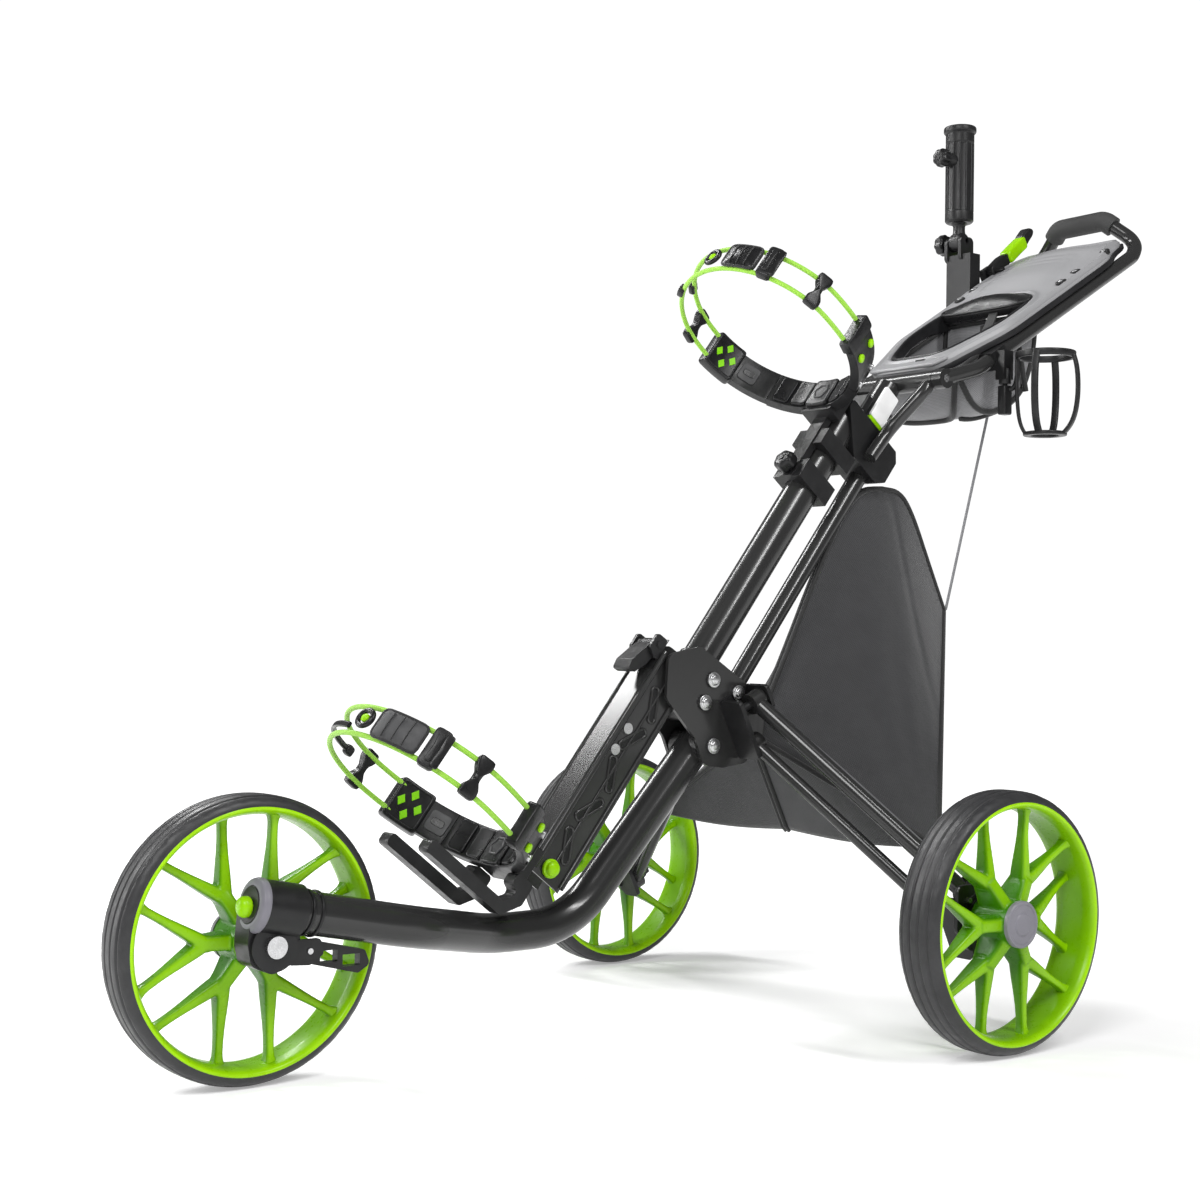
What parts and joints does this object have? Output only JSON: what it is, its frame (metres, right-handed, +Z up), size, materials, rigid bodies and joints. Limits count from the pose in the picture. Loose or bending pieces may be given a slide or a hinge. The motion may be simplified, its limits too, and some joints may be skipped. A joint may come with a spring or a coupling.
{
  "type": "golf push cart",
  "caption": "Folding three-wheel golf push cart with two bag brackets, console handle, umbrella holder, cup holder and storage net.",
  "frame": {"origin": "on the ground under the middle of the cart's overall box", "axes": "+Y runs from the front wheel to the handle, +X across the cart to the cup holder side, +Z up"},
  "size_m": [0.756, 1.5055, 1.224],
  "materials": {
    "tyre": "satin",
    "rim": "gloss",
    "hub_cap": "satin",
    "bearing": "satin",
    "steel": "satin",
    "tube_black": "gloss",
    "casting_black": "satin",
    "console_grey": "satin",
    "mesh": "matte",
    "pouch_mesh": "matte",
    "lime_cord": "matte",
    "lime_plastic": "satin",
    "grip_foam": "matte",
    "cable_grey": "matte"
  },
  "bodies": {
    "frame": {"main_tube": "tube_black", "rear_stay": "tube_black", "lower_channel": "tube_black", "hinge_plates": "casting_black", "frame_brackets": "casting_black", "frame_pins": "steel", "lower_saddle": "casting_black", "bag_rest_prongs": "casting_black", "lower_strap_cords": "lime_cord", "lower_strap_fittings": "casting_black", "joint_housing": "casting_black", "handle_stems": "tube_black", "net_right": "mesh", "net_left": "mesh", "net_cord": "cable_grey", "brake_cable": "cable_grey"},
    "front_arm": {"front_arm_tube": "tube_black", "front_fork": "casting_black", "front_axle": "steel"},
    "front_wheel": {"front_tyre": "tyre", "front_rim": "rim", "front_hub_cap": "hub_cap", "front_bearings": "bearing"},
    "alignment_lever": {"alignment_lever": "casting_black"},
    "release_button": {"wheel_release_button": "lime_plastic"},
    "fold_lever": {"fold_lever": "casting_black"},
    "upper_bracket": {"upper_saddle": "casting_black", "upper_strap_cords": "lime_cord", "upper_strap_fittings": "casting_black"},
    "height_knob": {"height_knob": "casting_black"},
    "handle": {"handle_frame": "tube_black", "console_shell": "console_grey", "console_pouch": "pouch_mesh", "handle_grip": "grip_foam", "rail_clamps": "casting_black", "umbrella_base": "casting_black"},
    "brake_lever": {"brake_lever": "lime_plastic"},
    "handle_latch": {"handle_latch": "casting_black"},
    "umbrella_tilt_knob": {"umbrella_tilt_knob": "casting_black"},
    "umbrella_holder": {"umbrella_tube": "casting_black"},
    "umbrella_clamp_knob": {"umbrella_clamp_knob": "casting_black"},
    "cup_holder": {"cup_ring": "casting_black"},
    "right_upper_link": {"right_upper_link": "tube_black"},
    "right_lower_link": {"right_lower_link": "tube_black"},
    "right_carrier": {"right_carrier": "casting_black", "right_axle": "steel"},
    "right_wheel": {"right_tyre": "tyre", "right_rim": "rim", "right_hub_cap": "hub_cap", "right_bearings": "bearing"},
    "right_brake_pin": {"right_brake_pin": "steel"},
    "left_upper_link": {"left_upper_link": "tube_black"},
    "left_lower_link": {"left_lower_link": "tube_black"},
    "left_carrier": {"left_carrier": "casting_black", "left_axle": "steel"},
    "left_wheel": {"left_tyre": "tyre", "left_rim": "rim", "left_hub_cap": "hub_cap", "left_bearings": "bearing"},
    "left_brake_pin": {"left_brake_pin": "steel"}
  },
  "joints": [
    {"name": "front_wheel_spin", "type": "hinge", "parent": "front_arm", "child": "front_wheel", "pos_m": [0, -0.6067, 0.146], "axis": [1, 0, 0], "continuous": true},
    {"name": "front_arm_fold", "type": "hinge", "parent": "frame", "child": "front_arm", "pos_m": [0, -0.0097, 0.327], "axis": [1, 0, 0], "range_deg": [0, 105]},
    {"name": "alignment_lever_turn", "type": "hinge", "parent": "front_arm", "child": "alignment_lever", "pos_m": [0.052, -0.5667, 0.138], "axis": [-1, 0, 0], "range_deg": [0, 30]},
    {"name": "release_button_press", "type": "slide", "parent": "front_arm", "child": "release_button", "axis": [0, 1, 0], "range_m": [0, 0.004], "stiffness_N_per_m": 300},
    {"name": "fold_lever_pull", "type": "hinge", "parent": "frame", "child": "fold_lever", "pos_m": [0, -0.08478, 0.44731], "axis": [-1, 0, 0], "range_deg": [0, 45]},
    {"name": "bracket_slide", "type": "slide", "parent": "frame", "child": "upper_bracket", "axis": [0, -0.617, -0.7869], "range_m": [0, 0.2]},
    {"name": "height_knob_turn", "type": "hinge", "parent": "upper_bracket", "child": "height_knob", "pos_m": [0, 0.13942, 0.67815], "axis": [0, -0.7869, 0.617], "continuous": true},
    {"name": "handle_fold", "type": "hinge", "parent": "frame", "child": "handle", "pos_m": [0, 0.3333, 0.797], "axis": [1, 0, 0], "range_deg": [0, 105], "deforming": ["net_cord", "console_pouch"]},
    {"name": "brake_lever_squeeze", "type": "hinge", "parent": "handle", "child": "brake_lever", "pos_m": [-0.098, 0.65029, 1.00811], "axis": [-1, 0, 0], "range_deg": [0, 9], "stiffness_Nm_per_rad": 0.6},
    {"name": "handle_latch_lift", "type": "hinge", "parent": "frame", "child": "handle_latch", "pos_m": [0, 0.25988, 0.75399], "axis": [1, 0, 0], "range_deg": [0, 20]},
    {"name": "umbrella_tilt", "type": "hinge", "parent": "handle", "child": "umbrella_holder", "pos_m": [-0.136, 0.6173, 1.052], "axis": [1, 0, 0], "range_deg": [-35, 35]},
    {"name": "umbrella_tilt_knob_turn", "type": "hinge", "parent": "handle", "child": "umbrella_tilt_knob", "pos_m": [-0.166, 0.6173, 1.052], "axis": [1, 0, 0], "continuous": true},
    {"name": "umbrella_clamp_knob_turn", "type": "hinge", "parent": "umbrella_holder", "child": "umbrella_clamp_knob", "pos_m": [-0.136, 0.5793, 1.172], "axis": [0, -1, 0], "continuous": true},
    {"name": "cup_holder_swing", "type": "hinge", "parent": "handle", "child": "cup_holder", "pos_m": [0.113, 0.4233, 0.8], "axis": [0, 0, 1], "range_deg": [-45, 45]},
    {"name": "right_leg_fold", "type": "hinge", "parent": "frame", "child": "right_upper_link", "pos_m": [0.052, 0.04018, 0.38083], "axis": [0, 0.8986, 0.4387], "range_deg": [0, 29.2], "deforming": ["net_right", "brake_cable"]},
    {"name": "right_lower_link_swing", "type": "hinge", "parent": "frame", "child": "right_lower_link", "pos_m": [0.052, 0.04059, 0.32984], "axis": [0, 0.8986, 0.4387], "range_deg": [0, 29.2]},
    {"name": "right_carrier_swing", "type": "hinge", "parent": "right_upper_link", "child": "right_carrier", "pos_m": [0.29689, 0.14321, 0.16978], "axis": [0, 0.8986, 0.4387], "range_deg": [-29.2, 0]},
    {"name": "right_wheel_spin", "type": "hinge", "parent": "right_carrier", "child": "right_wheel", "pos_m": [0.3475, 0.1433, 0.146], "axis": [1, 0, 0], "continuous": true},
    {"name": "right_brake_pin_slide", "type": "slide", "parent": "right_carrier", "child": "right_brake_pin", "axis": [1, 0, 0], "range_m": [0, 0.0061]},
    {"name": "left_leg_fold", "type": "hinge", "parent": "frame", "child": "left_upper_link", "pos_m": [-0.052, 0.04018, 0.38083], "axis": [0, -0.8986, -0.4387], "range_deg": [0, 29.2], "deforming": ["net_left"]},
    {"name": "left_lower_link_swing", "type": "hinge", "parent": "frame", "child": "left_lower_link", "pos_m": [-0.052, 0.04059, 0.32984], "axis": [0, -0.8986, -0.4387], "range_deg": [0, 29.2]},
    {"name": "left_carrier_swing", "type": "hinge", "parent": "left_upper_link", "child": "left_carrier", "pos_m": [-0.29689, 0.14321, 0.16978], "axis": [0, -0.8986, -0.4387], "range_deg": [-29.2, 0]},
    {"name": "left_wheel_spin", "type": "hinge", "parent": "left_carrier", "child": "left_wheel", "pos_m": [-0.3475, 0.1433, 0.146], "axis": [1, 0, 0], "continuous": true},
    {"name": "left_brake_pin_slide", "type": "slide", "parent": "left_carrier", "child": "left_brake_pin", "axis": [-1, 0, 0], "range_m": [0, 0.0061]}
  ],
  "couplings": [
    {"joint": "right_leg_fold", "follows": "front_arm_fold", "ratio": 0.27619},
    {"joint": "right_lower_link_swing", "follows": "front_arm_fold", "ratio": 0.27619},
    {"joint": "right_carrier_swing", "follows": "front_arm_fold", "ratio": -0.27619},
    {"joint": "right_brake_pin_slide", "follows": "brake_lever_squeeze", "m_per_rad": 0.038},
    {"joint": "left_leg_fold", "follows": "front_arm_fold", "ratio": 0.27619},
    {"joint": "left_lower_link_swing", "follows": "front_arm_fold", "ratio": 0.27619},
    {"joint": "left_carrier_swing", "follows": "front_arm_fold", "ratio": -0.27619},
    {"joint": "left_brake_pin_slide", "follows": "brake_lever_squeeze", "m_per_rad": 0.038}
  ]
}
